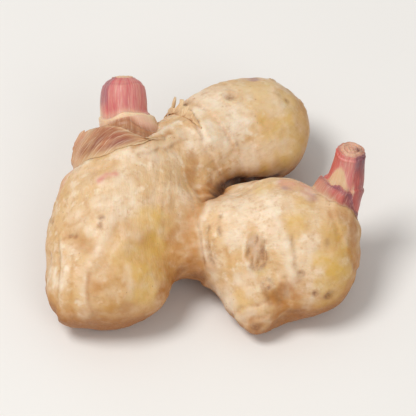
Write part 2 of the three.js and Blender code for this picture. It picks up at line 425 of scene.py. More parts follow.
# Swells and dips of the skin: place, radius, height.
SWELLS = [
    ((3, 28.5, 27), 9, 1.7), ((12.5, 8, 18.5), 4.5, 1.1), ((18, 11, 16.8), 5, 1.5),
    ((23.5, 14, 15.6), 4.5, 1.2), ((-12.6, -32.8, 12.5), 6, 2.1), ((18, -4, 29.5), 7, 1),
    ((7.5, -6, 28), 5.5, -2), ((34.5, -11.5, 24.5), 4.5, 1.7), ((0.3, -1.5, 23.5), 2.8, 1.2),
    ((-4.4, -19, 24.5), 5, -1.2), ((20.5, -34.5, 14), 3.5, -0.8), ((21.5, -36.8, 7.5), 4.5, -1.5),
    ((-39, -36, 8.5), 4, 1.2), ((-28, -39.5, 7), 6, -0.8), ((-35, -22.3, 27), 2.6, -0.7),
    ((-32, -26, 27), 2.4, -0.8),
]

# Patches of colour and of painted light and shade on the skin, by kind: x, y, z, radius, strength.
# The painted_shade and tan_and_shade patches are painted shade on flanks, creases and low sides; many pale
# and some yellow patches are painted light on sides turned from the lamps; the rest are the skin's own tints.
PATCHES = {
    "yellow": [
        (-17, -30, 24, 7, 0.85), (-16.2, -18.9, 29.1, 4.5, 0.7), (-17.1, -34.5, 18, 6, 0.8),
        (21.8, 17.6, 24.7, 10, 0.75), (14, 27, 29, 9, 0.55), (24.2, -21, 30, 5, 0.75),
        (26, -15, 30.5, 3.5, 0.5), (35, -29, 20.4, 8, 1), (9, -34, 13, 4.5, 0.5), (-13.5, -19, 29.5, 5, 0.8),
        (34, -22, 26.5, 5, 0.6), (-12.5, -24, 26, 6, 0.8), (-22, -28, 28, 6, 0.5), (22.6, 21, 24.9, 6, 0.8),
        (14.6, -8.9, 30.2, 4, 0.6), (22.4, 27.5, 25.2, 5, 0.6), (13.9, -28.4, 21.3, 3, 0.5),
        (37.3, -29.6, 16.1, 4, 0.7), (21.5, 10.5, 17.5, 5, 0.9), (16.5, 8, 18, 4.5, 0.8),
        (24.6, 13.5, 18.3, 4, 0.7), (31.6, -34, 11.9, 4, 0.8), (34.9, -31.9, 13, 4.5, 0.9),
    ],
    "tan_and_shade": [
        (-10.1, -21.8, 24.2, 7.5, 0.75), (-9.5, -14, 28.8, 6, 0.6), (-10, -24, 24, 7, 0.7),
        (-17, -26.5, 27.3, 8, 0.75), (-23, -33, 23, 8, 0.9), (-26, -37.5, 15, 7, 0.8),
        (19, -34, 15.5, 5, 0.95), (35.1, -21.6, 26, 6, 0.8), (38, -12, 20, 9, 0.5), (8.6, 9.6, 24, 7, 0.2),
        (27, 12, 18, 7, 0.5), (11.7, -21.9, 28.2, 2.6, 0.6), (-34, -24, 27, 4, 0.4), (-13, -30, 20, 7, 0.8),
        (-15, -26, 26, 8, 0.8), (-6, -16, 27, 6, 0.6), (-9, -26, 21, 6, 0.7), (39, -24, 15, 8, 0.9),
        (-26.5, -20.3, 31.7, 5, 0.4), (19.9, -22, 29.7, 5, 0.45), (35.1, -21.7, 25.9, 5, 0.9),
        (39.2, -22.4, 20.8, 5, 1), (-28, -35.3, 23.3, 3.5, 0.7), (8.8, 9, 25.6, 4, 0.4),
        (-23.7, -29.2, 27.4, 3.5, 0.6),
    ],
    "pale": [
        (3, 12, 29.5, 6, 0.8), (16, 14, 22, 6, 0.6), (20, 22, 27, 8, 0.5), (10, 17, 28, 7, 0.8),
        (-24.3, -15.7, 32.9, 8, 0.35), (-22, -1, 35, 7, 0.5), (8, -18.4, 28.8, 6.5, 0.3),
        (-38.8, -32, 19.5, 4, 0.6), (2.8, 18.8, 30.6, 6, 0.6), (14, 25, 29.5, 9, 0.5),
        (27, -11.5, 30.3, 3, 0.5), (11, -31.5, 16, 3.5, 0.5), (-1.2, 18, 30.7, 4, 0.9),
        (14.6, 26.1, 29.2, 5, 0.7), (11.6, 8.5, 22.2, 5, 0.5), (20.9, 13.1, 19.9, 6, 0.6),
        (-41.9, -29, 16.1, 3.5, 0.8), (17.1, 10.2, 18.5, 5, 0.6), (-24.7, -10.2, 33.5, 5.5, 0.6),
        (-20.9, -12.6, 33, 5, 0.5), (28.8, -9.7, 29.3, 3, 0.6), (6.5, -22.1, 26.4, 3.5, 0.7),
        (-13.2, -0.7, 33, 4, 0.6), (-30.9, -23.3, 29, 3, 0.6), (-27.6, -9.3, 33.3, 3.5, 0.6),
        (9, -29.9, 17.8, 3.5, 0.6), (11.5, -36.5, 11.5, 2.6, 0.8),
    ],
    "painted_shade": [
        (-7.9, -24.8, 19.9, 4, 0.6), (-4.5, -24.6, 17.5, 5, 0.9), (28, -35, 9, 6, 0.6), (40, -22, 16, 5, 0.7),
        (39, -30, 12, 5, 0.7), (-3.6, -24.5, 13, 6, 0.9), (-4.2, -1.6, 26.5, 3.5, 0.7),
        (-0.3, -4.5, 24.5, 3.2, 0.9), (-4, 2, 29, 3, 0.5), (20, -34, 15.5, 5, 0.7),
        (20.5, -35.4, 12, 3.5, 0.9), (28.1, 19.9, 12.8, 5, 0.5), (13.4, -38.9, 8.4, 3.2, 0.9),
        (-8.7, -21.2, 23.5, 5, 0.6), (1.8, -1.5, 22.5, 4.5, 0.9), (-39.9, -34.1, 10.4, 3.5, 1),
        (24.7, -35.6, 8.5, 5, 1), (-11.5, -32.5, 15, 5, 1), (-8.6, -27, 15, 5, 1), (19.4, -36.6, 9.3, 4, 1),
        (38.9, -16.7, 24, 4, 0.8), (13.3, -3, 25.5, 3, 0.7), (0.7, -26.1, 19.3, 3, 0.5),
        (-28.6, -35.2, 22.5, 3, 0.4), (-20.1, -38.1, 15.9, 4, 0.6), (-30.4, -39.4, 14, 4, 0.5),
        (24.2, -35, 12.5, 3.5, 0.8), (23.8, -33.5, 17, 4.5, 0.8), (35.7, -16.6, 28.7, 3.5, 0.6),
        (39.2, -20.4, 22.4, 3.5, 0.7), (-7, -25.8, 15.4, 4, 0.7),
    ],
    "pink": [
        (27.5, -7.5, 30, 5, 0.5), (22, -7.5, 31, 4, 0.5), (-36.5, -2, 23, 5, 0.35),
    ],
    "lilac": [
        (12.6, 34, 26, 3.4, 0.7), (29, -12.5, 29.5, 2.6, 0.5), (21.5, -9.5, 31.6, 1.8, 0.45),
    ],
    "brown": [
        (-27.7, -20.6, 31.2, 1.5, 0.7), (-27.9, -22.2, 30.4, 1.2, 0.6), (8.6, 9.6, 26.3, 0.9, 0.5),
        (25.4, -31.4, 21.6, 1.3, 0.55), (33.1, -33.6, 15, 1.9, 0.8), (29.1, -34, 16.8, 1, 0.8),
        (32.4, -24.3, 26.6, 1.5, 0.45), (13.5, -39, 8.2, 1.7, 0.9), (19.3, -33.6, 16.5, 3.4, 0.4),
        (16.6, -33.2, 17.6, 0.9, 0.8), (-36.4, -21.6, 26.6, 1.1, 0.7), (-35, -22.8, 27, 1.0, 0.6),
        (1.8, -1.5, 22.5, 4, 0.45), (24.7, -35.6, 8.5, 4, 0.6), (-1.2, -25.3, 13, 4.5, 0.85),
        (-8, -26, 14.5, 4, 0.5), (24, -35.5, 9.6, 4, 0.75),
    ],
}

# Ridges and creases along a line of points: height, half width, and the colours they bring, which in the
# creases are mostly painted shade.
STROKES = [
    (((-28.4, -8.6, 32.8), (-26.4, -7.4, 33.5), (-24.2, -6.9, 34)), 0.12, 0.8, ("pink", 0.9, 0.8)),
    # painted shadow and painted shade: the crack between the upper and right fingers, near black within and
    # brown and orange along its lips; the last of these strokes is colour only
    (((1.3, -8.4, 26.6), (2.6, -6.4, 26), (3.8, -3.8, 23.4), (6, 1, 18.4), (9.2, 4, 16.6), (11.8, 6, 15.2),
      (14.4, 7.7, 13.8)),
     -1.6, 1.3, ("painted_shadow", 0.9, 1.05), ("brown", 0.85, 1.7), ("painted_shade", 0.9, 3.2)),
    (((2.6, -5.5, 23.6), (3.8, -3.3, 22.2), (5.4, 0.6, 20.2), (7, 4, 17.6)),
     -0.7, 1.1, ("painted_shadow", 0.9, 1.2), ("brown", 0.85, 2), ("painted_shade", 0.9, 3)),
    (((14.4, 7.7, 13.8), (17.3, 9.2, 12.4), (20, 10.6, 11.4)),
     -0.9, 1.2, ("brown", 0.9, 1.7), ("painted_shade", 0.9, 2.7)),
    (((8.3, 5.7, 15), (10.2, 7.6, 13.8), (13.6, 10, 11.8), (18.1, 10.9, 12)),
     0, 1, ("painted_shadow", 0.85, 2.2), ("brown", 0.9, 3)),
    (((-0.6, -8.6, 25.9), (-3.4, -15, 26.2), (-5, -19.5, 24.6), (-3.6, -22.4, 21.5), (-1.9, -24.7, 17)),
     -0.9, 2.2, ("tan_and_shade", 0.8, 3.2), ("painted_shade", 0.45, 2)),
    (((1.4, -9.6, 26.9), (-1, -15.6, 26.9), (-1.9, -19.8, 24.7), (-0.7, -23, 22.8), (1.3, -26.2, 19.2),
      (2.7, -27.5, 16)),
     0.75, 1.3, ("pale", 0.6, 1.3)),
    (((3.8, -16.8, 28.1), (3.8, -21.9, 26.4)), -0.4, 0.5, ("brown", 0.6, 0.5)),
    (((0.7, -19.5, 26.1), (0.8, -23.2, 23), (2.2, -26, 20)), -0.4, 0.55, ("brown", 0.6, 0.6)),
    (((2.2, -22.6, 24.5), (3, -25.7, 21)), -0.22, 0.4, ("brown", 0.35, 0.5)),
    (((5.6, -24.5, 24.5), (6.4, -28, 20.2)), -0.18, 0.5, ("tan_and_shade", 0.6, 0.8)),
    (((-25.2, -20.3, 31.5), (-26.3, -25, 29.4), (-29.2, -28.9, 27.8), (-30.9, -32.5, 25.5), (-31.6, -37, 20),
      (-31.5, -39.8, 14)),
     0.26, 1.8, ("pale", 0.38, 2.2)),
    (((-23.4, -22.6, 30.6), (-26.5, -29, 27.4), (-29, -32.5, 25), (-29.9, -37, 19), (-29.9, -39.8, 13)),
     -0.35, 1.8, ("tan_and_shade", 0.75, 2.4)),
    (((-30.3, -33, 24.6), (-30.6, -37, 20), (-30.5, -40, 13)), -0.25, 0.5, ("painted_shade", 0.6, 0.7)),
    (((-24.5, -29, 28), (-20, -25, 29.4), (-14, -20, 27.9)), 0.5, 2.4, ("pale", 0.25, 2)),
    (((-26, -32.5, 25), (-20, -29.5, 26), (-13, -25, 24.5)), -0.6, 3),
    (((-20.6, -31.5, 25), (-20.2, -35.5, 20), (-20, -37.5, 15)), 0.06, 1, ("pale", 0.55, 1.3)),
    (((-15, -30, 23), (-14.6, -33.5, 17.5)), 0.05, 0.8, ("pale", 0.4, 1.2)),
    (((-39.3, -28.5, 20), (-39.8, -32, 17)), 0.2, 0.7, ("pale", 0.9, 0.8)),
    (((-36.8, -30, 23), (-37.6, -34, 18.6)), 0.15, 0.8, ("pale", 0.8, 0.8)),
    (((-38.2, -29.4, 21.5), (-38.7, -33.4, 17.7), (-38, -36.8, 11.5)), -0.22, 0.5, ("tan_and_shade", 0.9, 0.7)),
    (((-35.2, -31, 23.8), (-35.7, -35.5, 18.7), (-35, -38.4, 12)), -0.15, 0.7, ("tan_and_shade", 0.6, 1)),
    (((-39.8, -14, 21.5), (-40.6, -9, 19)), -0.35, 0.7, ("brown", 0.4, 0.8)),
    (((-37, -18.5, 26), (-33.5, -19, 29), (-30.5, -18, 30.8)), -0.3, 0.9, ("tan_and_shade", 0.6, 1.2)),
    (((-37.3, -21.5, 25.5), (-35.5, -22.4, 26.8), (-33, -25.6, 26.8), (-30.6, -27.6, 27.2)),
     -0.5, 1.4, ("painted_shade", 0.35, 1.6)),
    (((-3.7, 14.7, 30.8), (-2.2, 11.2, 31.1), (-0.6, 8.1, 30.4)), -0.4, 0.55, ("brown", 0.4, 0.6)),
    (((-1.9, 15.4, 31), (-0.4, 11.6, 31), (1.4, 8.6, 29.8)), 0.35, 0.8, ("pale", 0.5, 0.8)),
    (((1.4, 15.5, 31), (2.8, 12.5, 30.4), (5, 10, 28.5)), -0.2, 0.6, ("tan_and_shade", 0.5, 0.7)),
    (((-13, 8, 32.4), (-10.2, 12, 30.9), (-7.7, 14, 30.4)), 0.8, 1.3, ("pale", 0.7, 1.3)),
    (((-19, 1.5, 35.6), (-14, 5.2, 34), (-9.5, 9.2, 32)), -0.45, 0.8, ("painted_shade", 0.7, 1)),
    (((14.5, -9, 31), (16.6, -14.2, 31.7), (19.5, -21.9, 30.3), (21.8, -27.9, 26), (22.8, -32.1, 21),
      (21.8, -34.1, 16.4)),
     0.28, 1.9, ("pale", 0.6, 1.8)),
    (((22.6, -24.5, 28.7), (24, -29, 24.8), (24.6, -32.5, 20)), -0.3, 0.8, ("brown", 0.35, 0.5)),
    (((15, -32.5, 17.5), (17.6, -34.8, 13.5)), -0.5, 0.8, ("brown", 0.5, 0.7)),
    (((16.8, -31.5, 19.2), (19, -34, 16), (19.6, -35, 13)), -0.4, 0.6, ("brown", 0.5, 0.7)),
    (((19, -30.6, 20.8), (20.8, -34.3, 15.4)), 0.4, 0.8, ("pale", 0.3, 0.7)),
    (((21.2, -31.6, 20), (22.6, -34.6, 14.5)), -0.4, 0.7, ("painted_shade", 0.6, 0.9)),
]

# Root scars: centre and radius. The others are strewn over the hidden sides.
ROOT_SCARS = [
    ((25.4, -31.4, 21.6), 0.8), ((33.1, -33.6, 15), 1.2), ((29.1, -34, 16.8), 0.7),
    ((16.6, -33.2, 17.6), 0.5),
]



def drift(p, size, seed):
    """Three values of noise for each point, to sway it by."""
    return np.stack([noise(p, size, seed + axis) for axis in range(3)], 1)


def snapped(p, place):
    """The surface point nearest to a place."""
    return p[np.argmin(((p - place) ** 2).sum(1))]


def line_distance(p, points):
    """How far each point of p lies from a line through points."""
    least = np.inf
    for a, b in zip(points[:-1], points[1:]):
        a, step = np.array(a, float), np.array(b, float) - a
        t = np.clip((p - a) @ step / (step @ step), 0, 1)
        least = np.minimum(least, distance(p - a, t[:, None] * step))
    return least


def grain_of(p):
    """Where each point lies in its finger's grain, drawn out along the growth."""
    total = np.zeros_like(p)
    weights = np.zeros(len(p))
    for start, end, axis in GROWTH:
        start, end, axis = np.array(start) + MIDDLE, np.array(end) + MIDDLE, unit(axis)
        weight = np.exp(-line_distance(p, [start, end]) / 2)
        total += weight[:, None] * (p - 0.86 * np.outer((p - start) @ axis, axis))
        weights += weight
    return total / weights[:, None]


def dress_skin(mesh):
    """Rings, scars, grain and hollows as real relief, and the masks for the skin's colours and for the light
    and shade painted into them.
    """
    p = mesh_points(mesh)
    n = vectors(mesh.vertex_normals, "vector")
    rng = np.random.default_rng(11)
    kinds = ("ring", "brown", "painted_shade", "yellow", "pink", "lilac", "pale", "tan_and_shade", "painted_shadow")
    mask = {kind: np.zeros(len(p)) for kind in kinds}
    lift = 0.45 * (noise(p, 9, 3) + noise(p, 4.5, 20) / 2) + 0.16 * noise(p, 4, 5) + 0.06 * noise(p, 1.6, 6)

    def mark(kind, value):
        mask[kind] = np.maximum(mask[kind], value)

    grain = grain_of(p)
    rough_zone = ramp(noise(p, 12, 20), -0.4, 0.5)
    lift += (0.06 + 0.16 * rough_zone) * noise(grain, 3.2, 21) + 0.08 * noise(grain, 1.4, 22)
    lift += 0.045 * noise(grain, 0.7, 23)

    wobble = 0.9 * noise(p, 7, 31) + 0.3 * noise(p, 2.2, 32) + 0.12 * noise(p, 0.9, 33)
    for k, (centre, normal, reach, height, tone) in enumerate(RINGS):
        d = (p - centre) @ unit(normal) + wobble
        near = 1 - ramp(distance(p, centre), reach * 0.8, reach)
        there = near * ramp(noise(p, 5, 40 + k) + 0.5 * noise(p, 1.7, 70 + k), -0.5, 0.35)
        width = 0.32 + 0.2 * ramp(noise(p, 4, 90 + k), -0.5, 0.5)
        lift += there * height * (0.8 * bump(d, width) - 0.7 * bump(d + 0.9, 0.6))
        lift += near * 0.9 * height * ramp(d, -0.4, 0.5) * np.exp(-np.maximum(d, 0) / 4)
        mark("ring", there * tone * bump(d + 0.6, 0.5))
        mark("tan_and_shade", 0.3 * near * bump(d + 1.6, 1.6))
        mark("pale", 0.3 * there * bump(d - 0.2, 0.6))

    for place, radius, height in SWELLS:
        lift += height * bump(distance(p, snapped(p, place)), radius)
    warp = drift(p, 3, 51)
    for kind, patches in PATCHES.items():
        for x, y, z, radius, strength in patches:
            d = distance(p + 0.4 * radius * warp, snapped(p, (x, y, z)))
            mark(kind, strength * (1 - ramp(d, radius * 0.2, radius * 1.1)))
    # painted shade: tan and warmer towards the bottom, browner on the underside, and tan on skin turned away
    # from the key lamp; painted highlight: upward-facing skin paler
    mark("tan_and_shade", 0.95 * (1 - ramp(p[:, 2] + 4 * warp[:, 0], 3, 18)))
    under = ramp(-n[:, 2] + 0.12 * warp[:, 1], -0.35, 0.35)
    mark("painted_shade", np.maximum(0.9 * (1 - ramp(p[:, 2] + 3 * warp[:, 1], 2, 14)), under))
    mark("brown", 0.6 * ramp(under, 0.3, 1) * (1 - ramp(p[:, 2], 8, 20)))
    mark("tan_and_shade", 0.65 * ramp(-n[:, 2] + 0.15 * warp[:, 2], -0.6, 0.1))
    mark("pale", 0.15 * ramp(n[:, 2] + 0.15 * warp[:, 0], 0.6, 0.95))
    mark("tan_and_shade", 0.7 * ramp(n[:, 0] - 0.6 * n[:, 2] + 0.2 * warp[:, 1], 0, 0.8))
    swayed = p + 0.5 * warp + 0.2 * drift(p, 1.2, 54)
    for line, height, width, *tones in STROKES:
        line = [snapped(p, point) for point in line]
        d = line_distance(swayed, line)
        lift += height * bump(d, width) * (0.75 + 0.25 * noise(p, 3, 57))
        for kind, strength, reach in tones:
            mark(kind, strength * bump(d, reach))

    # painted shade in the hollows of the skin
    smooth = relaxed(mesh, p, passes=24)
    hollow = np.einsum("ij,ij->i", smooth - p, n)
    mark("painted_shade", 0.6 * ramp(hollow, 0.02, 0.3))
    # painted light: the bud's left side, which faces down, is kept clear of painted shade and made paler
    bud_side = bump(line_distance(p + warp, [(3.5, -29.5, 10), (7, -33.3, 10.3), (8.6, -35, 9)]), 4.2)
    for kind in ("tan_and_shade", "painted_shade", "brown"):
        mask[kind] *= 1 - 0.9 * bud_side
    mark("pale", 0.5 * bud_side)

    # the oval scar of a fallen scale leaf: a rough rim round torn strands
    q = p - snapped(p, (13.2, -26, 24.1))
    wide, tall = 3.1, 5
    facing, up = unit([-0.18, -0.77, 0.62]), np.array([-0.12, 0.62, 0.77])
    up = unit(up - facing * (up @ facing))
    side = np.cross(up, facing)
    x, y = q @ side + 0.25 * warp[:, 0], q @ up + 0.3 * warp[:, 1]
    oval = np.hypot(x / wide, y / tall) + 0.16 * noise(p, 1.6, 61)
    near = 1.0 * (np.abs(q @ facing) < 5)
    inside = near * (1 - ramp(oval, 0.75, 1.05))
    strand = noise(np.stack([x - 0.25 * y, y / 4.5, 0 * x], 1), 0.75, 62)
    broken = ramp(noise(p, 2.4, 63), -0.5, 0.3)
    lift += near * 0.3 * broken * bump(oval - 1, 0.17) - 0.42 * inside + 0.24 * inside * strand
    mark("brown", inside * (0.15 + 0.5 * ramp(-strand, -0.1, 0.7)))
    # painted shade in the scar's hollow
    mark("painted_shade", 0.4 * inside)
    mark("pale", 0.6 * inside * ramp(strand, 0, 0.6))
    mark("brown", near * 0.7 * bump(oval - 0.95, 0.13) * ramp(x - 0.6 * y, -1.2, 2.4))
    mark("brown", near * 0.65 * bump(np.hypot(x + 1.5, y + 4), 1.1))
    mark("pale", near * 0.5 * bump(oval - 1.15, 0.12) * ramp(-x, -1, 2))

    # a small sunken eye on the upper finger
    q = p + 0.3 * warp - snapped(p, (6.3, 23.1, 29.3))
    along = unit([0.75, -0.35, -0.2])
    d = np.sqrt(np.maximum((q**2).sum(1) - 0.55 * (q @ along) ** 2, 0))
    lift += 0.22 * bump(d - 1.9, 0.5) - 0.45 * bump(d, 1.0)
    mark("brown", 0.75 * bump(d, 1.0))

    # root scars
    tried, kept = 220, 34
    strewn = [(p[i], rng.uniform(0.5, 1.0)) for i in rng.integers(0, len(p), tried)]
    strewn = [(c, r) for c, r in strewn if c[2] < 9 or c[1] > 22]
    for centre, radius in [*ROOT_SCARS, *strewn[:kept]]:
        d = distance(p, snapped(p, centre))
        lift += 0.22 * bump(d - radius, 0.4) - 0.25 * bump(d, radius * 0.6)
        mark("brown", 0.6 * bump(d, radius * 0.8))
        mark("ring", 0.4 * bump(d - radius, 0.5))

    resting = 1 - ramp(p[:, 2], 0.1, 1.5)
    lift *= 1 - resting
    p = p + n * lift[:, None]
    p[:, 2] = np.maximum(p[:, 2], 0)
    set_points(mesh, p)
    add_masks(mesh, {**mask, "grain": grain})


rhizome_mesh = fine_copy("rhizome_skin", "rhizome", voxel=0.48, passes=26)
dress_skin(rhizome_mesh)
add_piece(rhizome_mesh, "rhizome", skin_material())


# ---- shoots and scales
TISSUE = {
    "cream": (238, 212, 170), "straw": (212, 172, 122), "brown": (156, 90, 52), "pink": (208, 110, 111),
    "red": (206, 84, 76), "purple": (140, 88, 104), "dark": (104, 52, 58),
}


def tissue_material(name, tone, roughness, subsurface, streaky, depth):
    """Shoot and scale tissue: masks choose its colours, and fine streaks run along the growth."""
    s = Shader(name, roughness, subsurface, reach=0.0015)
    grain = s.attribute("grain", "Vector")
    for kind, shade in TISSUE.items():
        broken = s.spread(s.noise(0.9, 4, grain, 0.6), 0.25, 0.7, 0.5, 1)
        tone = s.mix(s.times(s.attribute(kind), broken), tone, shade)
    streak = s.noise(0.45, 3, grain)
    tone = s.mix(s.spread(streak, 0.5, 0.75, 0, streaky), tone, (255, 226, 205), "MULTIPLY")
    tone = s.mix(s.spread(streak, 0.5, 0.3, 0, streaky * 0.6), tone, (250, 226, 206), "SCREEN")
    specks = s.spread(s.noise(0.7, 4, roughness=0.7), 0.58, 0.75)
    tone = s.mix(s.times(specks, streaky), tone, (196, 140, 110), "MULTIPLY")
    relief = s.relief(streak, depth, 0.7)
    relief = s.relief(s.noise(0.4, 3), depth * 0.5, 0.5, relief)
    rough = s.spread(s.noise(0.8, 3), 0.3, 0.7, roughness - 0.08, roughness + 0.1)
    return s.finish(tone, Normal=relief, Roughness=rough)


skin_tree = BVHTree.FromPolygons(
    [Vector(v) for v in mesh_points(rhizome_mesh)], [tuple(f.vertices) for f in rhizome_mesh.polygons]
)


SKIN_REACH = 8


def clear_of_skin(points, gap):
    """points, with those inside the rhizome's skin or nearer to it than gap moved out."""
    flat = points.reshape(-1, 3).copy()
    gaps = np.broadcast_to(gap, points.shape[:-1]).ravel()
    for i, point in enumerate(flat):
        near, normal, _, _ = skin_tree.find_nearest(Vector(point), SKIN_REACH)
        if near is not None and (Vector(point) - near).dot(normal) < gaps[i]:
            flat[i] = near + normal * gaps[i]
    return flat.reshape(points.shape)


def uneven(flat, a):
    """How far out a place on a cut face is, bent so that no ring is a true circle."""
    return flat + 0.07 * round_noise(a, 3 * flat, 2.4, 72) * ramp(flat, 0, 0.3)


def shoot_mesh(name, stalk, relief, masks, start, around, rows, rings):
    """A shoot from start to its cut end, whose face shows its rolled layers as rings."""
    angle = np.linspace(0, 2 * np.pi, around, endpoint=False)
    t = np.linspace(start, stalk.end, rows)
    along, turned = np.meshgrid(t, angle, indexing="ij")
    lift = relief(along, turned)
    side = stalk.at(along, turned, lift)
    share = np.linspace(1, 0, 26)[1:]
    flat, turned_face = np.meshgrid(share, angle, indexing="ij")
    layers = np.cos(uneven(flat, turned_face) * math.pi * 2 * rings)
    swell = 0.22 * layers * ramp(flat, 0, 0.2) + 0.5 * (1 - flat**3)
    swell += 0.25 * round_noise(turned_face, 4 * flat, 2.5, 71) * flat
    face = stalk.at(stalk.end + swell, turned_face, lift[-1] * flat, flat)
    foot = stalk.at(along[:1], turned[:1], share=0)
    points = np.concatenate([foot, side, face])
    drawn = {}
    for kind, (on_side, on_face) in masks(along, turned, flat, turned_face).items():
        drawn[kind] = np.concatenate([on_side[:1], on_side, on_face])
    grain = drum(8, turned, 0.12 * along)
    drawn["grain"] = np.concatenate([grain[:1], grain, drum(8 * flat, turned_face, 0)])
    return closed_mesh(name, points, drawn)


# The rear shoot has a wide foot of stacked margins, then a pink stump.
rear_stalk = Stalk([
    (-21.4, 11.6, 20.9, 12.8), (-22.5, 14.8, 22.8, 14), (-22.7, 17.1, 24.2, 13.4), (-22.1, 19.5, 25.6, 10.9),
    (-22.1, 21.3, 26.8, 8.5), (-22.4, 22.8, 27.7, 6.9), (-22.7, 24.4, 28.9, 6.1), (-22.8, 27.2, 31.2, 6),
    (-22.8, 30.6, 34, 5.4), (-22.8, 31.7, 34.9, 4),
])
right_stalk = Stalk([
    (31.5, -6, 18, 6.8), (33.3, -3.9, 22.5, 6.8), (35.1, -2, 26, 6), (36.7, -0.3, 29, 5),
    (37.6, 1.5, 33.5, 4.3), (38.3, 2.9, 38.6, 4),
])


def stepped(t, margin, height):
    """A layer that ends at margin: a thin lip, then a step down."""
    return 0.35 * height * bump(t - margin + 0.25, 0.35) - height * ramp(t, margin - 0.05, margin + 0.25)


def rear_margins(a):
    return (
        8.8 + 0.9 * near_angle(a, 190, 60) + 0.5 * round_noise(a, 0, 3, 81),
        11.4 + 0.9 * round_noise(a, 0, 4, 82) - 1.2 * near_angle(a, 320, 50),
        14.3 + 0.9 * round_noise(a, 0, 5, 83) - 0.8 * near_angle(a, 0, 60) + 0.9 * near_angle(a, 290, 50),
        23 + 0.35 * round_noise(a, 0, 4, 84),
    )


def rear_relief(t, a):
    lift = 0.14 * round_noise(a, t * 0.12, 1.5, 85) + 0.07 * round_noise(a, t * 0.12, 0.7, 86)
    lift += 0.2 * round_noise(a, t * 0.5, 4, 87) - 2.6 * near_angle(a, 188, 85) * bump(t - 9, 3.2)
    for margin, height in zip(rear_margins(a), (0.45, 0.35, 0.35, 0.15)):
        lift += stepped(t, margin, height)
    return lift + 1.45 * ramp(t, 8, 14.5) - 1.1 * ramp(t, 20.5, 26) ** 1.5


def rear_masks(t, a, flat, face_a):
    m1, m2, m3, m4 = rear_margins(a)
    stump = 0.5 * ramp(t, m3 - 0.3, m3 + 0.4) + 0.5 * ramp(t, m3, m3 + 2.4)
    strip = near_angle(a, 178, 26) * (1 - ramp(t, 18, 21))
    ring = 0.5 + 0.5 * np.cos(uneven(flat, face_a) * math.pi * 8)
    none = 0 * flat
    return {
        "pink": (stump * (1 - 0.9 * strip) + 0.12 * bump(t - m2 - 1, 1.2), 0.4 - 0.3 * ring),
        "red": (0.3 * stump * near_angle(a, 235, 40) * (1 - ramp(t, 16, 22)), none),
        "purple": (0.75 * stump * near_angle(a, 205, 30) * ramp(t, 16, 19), 0.35 * ramp(flat, 0.8, 0.95)),
        "cream": (np.maximum(bump(t - m3 + 0.4, 1.7), 0.4 * bump(t - m4 + 0.15, 0.35)), 0.45 + 0.3 * ring),
        "straw": (0.7 * bump(t - m2 + 0.4, 1.2) + 0.6 * (t < m2), none),
        "brown": (
            0.85 * np.maximum(
                1 - ramp(t, m1 - 0.6, m1 + 0.2),
                near_angle(a, 280, 75) * (1 - ramp(t, m2, m2 + 1.8)),
            ),
            none,
        ),
        "dark": (0.12 * bump(t - m3 - 0.35, 0.3) + 0.12 * bump(t - m4 - 0.35, 0.25), none),
    }


def right_margins(a):
    return 13.2 + 0.9 * round_noise(a, 0, 4, 91), 22.8 + 0.3 * round_noise(a, 0, 4, 92)


def right_relief(t, a):
    m1, m2 = right_margins(a)
    lift = 0.12 * round_noise(a, t * 0.12, 1.4, 93) + 0.06 * round_noise(a, t * 0.12, 0.7, 94)
    lift += 0.25 * round_noise(a, t * 0.5, 4, 95)
    fold = near_angle(a, 300, 16) * ramp(t, 14, 16)
    return lift + stepped(t, m1, 0.35) + stepped(t, m2, 0.25) - 0.3 * fold + 0.3


def right_masks(t, a, flat, face_a):
    tip = 21.2 - 0.16 * away_from(a, 235) + 0.8 * round_noise(a, 0, 1.2, 96)
    wedge = (1 - ramp(t, tip - 1.3, tip + 0.9)) * near_angle(a, 235, 55) ** 0.5
    bare = (1 - np.clip(1.1 * wedge, 0, 1)) * (1 - 0.8 * near_angle(a, 292, 9) * (1 - ramp(t, 13, 17)))
    ring = 0.5 + 0.5 * np.cos(uneven(flat, face_a) * math.pi * 6)
    eye = bump(np.hypot(flat * np.cos(face_a) - 0.45, flat * np.sin(face_a) + 0.1), 0.3)
    none = 0 * flat
    return {
        "pink": (0.9 * bare, 0.35 - 0.2 * ring),
        "red": (
            0.85 * bare * np.maximum(near_angle(a, 195, 42), near_angle(a, 310, 40) * (1 - ramp(t, 18, 22))),
            0.8 * ramp(flat, 0.86, 0.97) * near_angle(face_a, 190, 70),
        ),
        "purple": (
            bare * (near_angle(a, 315, 42) * ramp(t, 17, 22) + 0.3 * near_angle(a, 90, 80)),
            0.4 * ramp(flat, 0.85, 0.97),
        ),
        "brown": (0.85 * bare * near_angle(a, 335, 62) * (1 - ramp(t, 22, 30)), 0.3 + 0 * flat),
        "cream": (0.6 * (1 - bare), 0.35 + 0.2 * ring),
        "straw": (0.55 * (1 - bare), none),
        "dark": (
            0.9 * near_angle(a, 338, 52) * ramp(t, 8, 14) * (0.7 + 0.3 * round_noise(a, t, 2, 97)),
            np.maximum(0.95 * eye, 0.55 * ramp(flat, 0.72, 0.95) * near_angle(face_a, 335, 60)),
        ),
    }


rear_mesh = shoot_mesh(
    "rear_shoot_tissue", rear_stalk, rear_relief, rear_masks, start=4.25, around=260, rows=330, rings=4
)
right_mesh = shoot_mesh(
    "right_shoot_tissue", right_stalk, right_relief, right_masks, start=7.2, around=200, rows=280, rings=3
)
shoot_look = tissue_material(
    "shoot_tissue", (230, 184, 156), roughness=0.45, subsurface=0.25, streaky=0.2, depth=0.12
)
add_piece(rear_mesh, "rear_shoot", shoot_look)
add_piece(right_mesh, "right_shoot", shoot_look)


